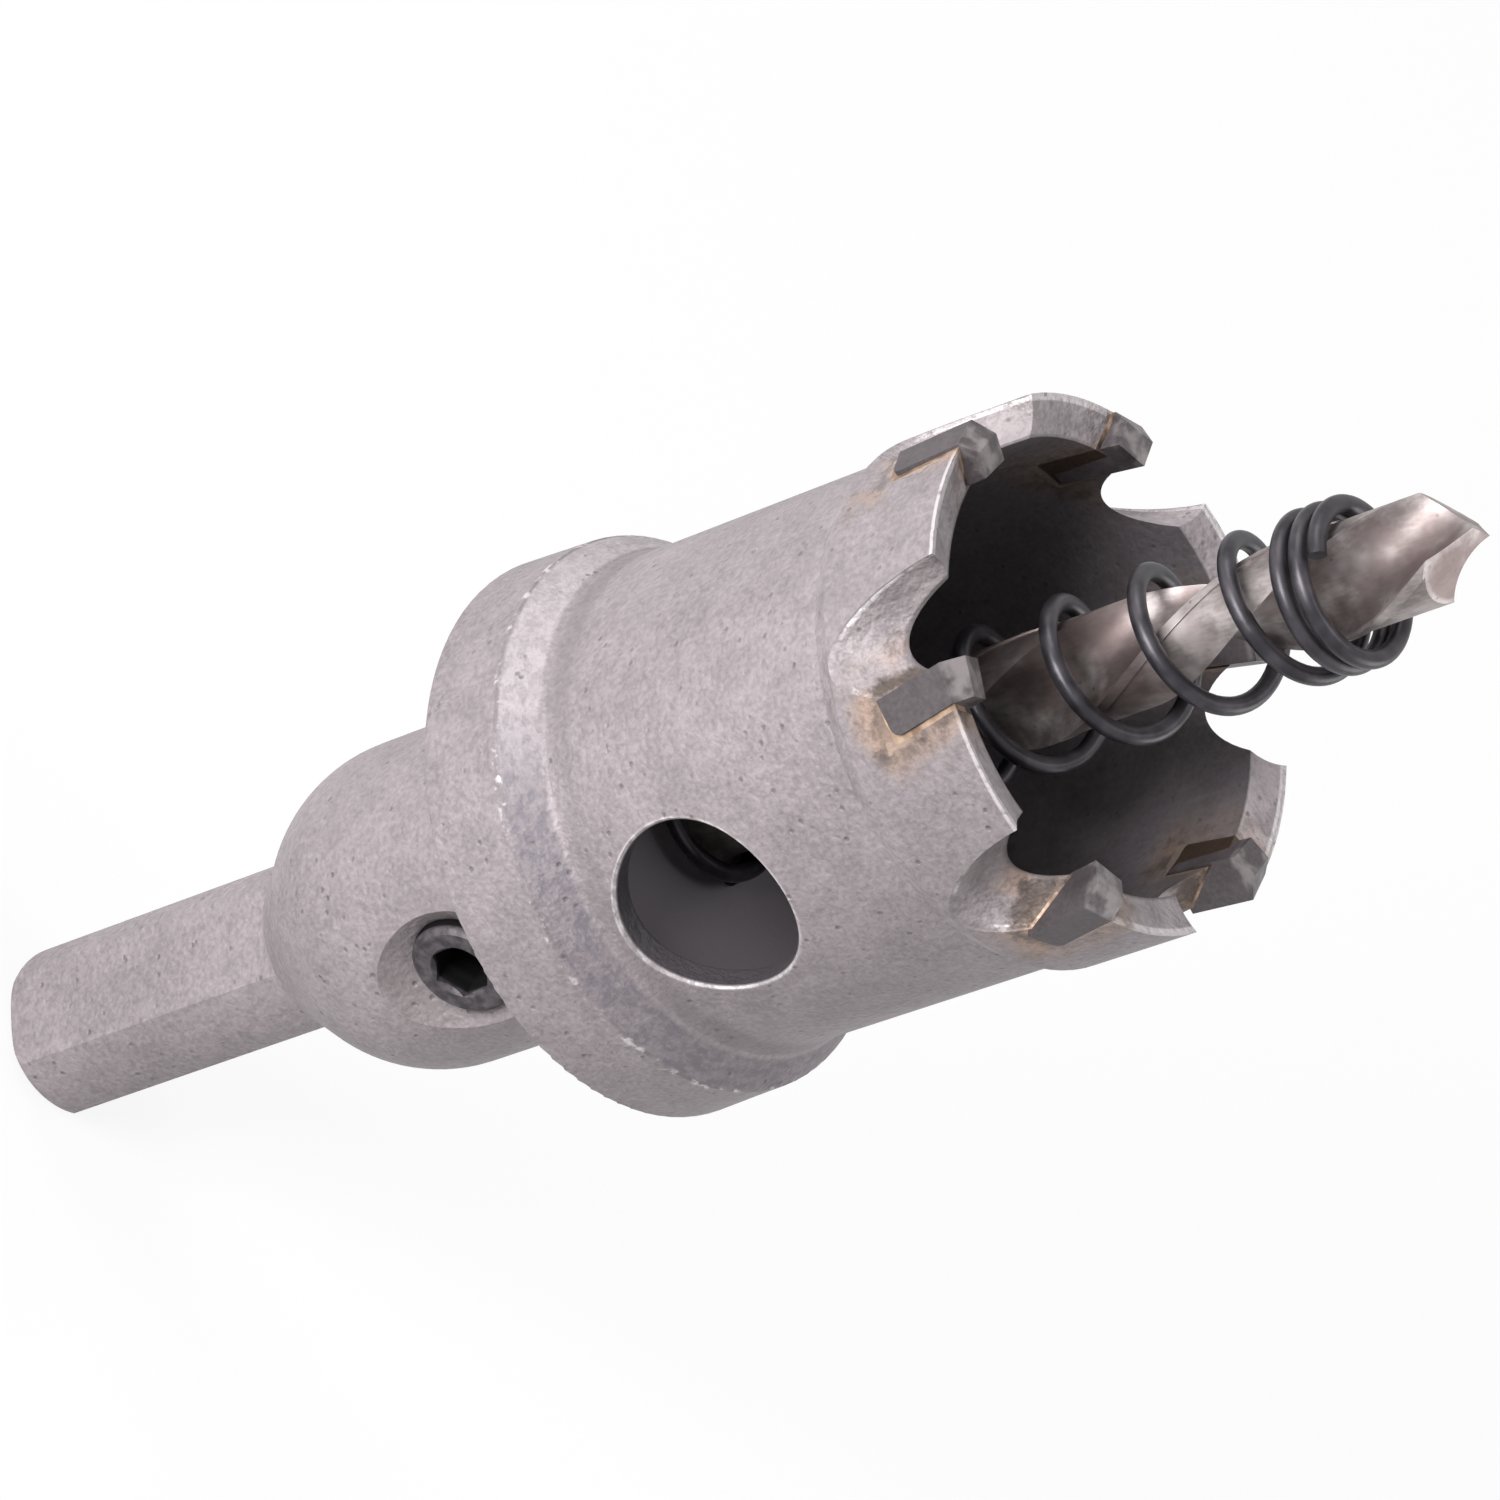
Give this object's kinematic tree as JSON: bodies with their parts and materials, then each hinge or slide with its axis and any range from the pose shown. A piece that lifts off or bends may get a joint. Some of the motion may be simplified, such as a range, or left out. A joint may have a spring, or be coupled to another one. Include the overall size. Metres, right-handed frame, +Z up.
{
  "type": "hole saw",
  "caption": "Carbide-tipped cup hole saw with a flange, a chuck shank with flats, a twist pilot drill and a coil spring that pushes the slug out.",
  "frame": {"origin": "centre of the shank's end face, on the tool's axis", "axes": "+Z up along the tool's axis, from the shank's end to the point of the pilot drill; +X is the outward normal of one shank flat; the set screw and the side window face -Y"},
  "size_m": [0.0316, 0.0316, 0.1016],
  "materials": {
    "blasted_steel": "bead blasted, matt",
    "carbide": "ground, dull",
    "braze": "as brazed",
    "drill_steel": "ground and polished",
    "screw_steel": "black oxide",
    "spring_steel": "black oxide"
  },
  "bodies": {
    "root": {"saw_body": "blasted_steel", "carbide_tip_1": "carbide", "carbide_tip_2": "carbide", "carbide_tip_3": "carbide", "carbide_tip_4": "carbide", "carbide_tip_5": "carbide", "carbide_tip_6": "carbide", "braze_seam_1": "braze", "braze_seam_2": "braze", "braze_seam_3": "braze", "braze_seam_4": "braze", "braze_seam_5": "braze", "braze_seam_6": "braze", "pilot_drill": "drill_steel", "set_screw": "screw_steel", "ejector_spring": "spring_steel"}
  },
  "joints": []
}
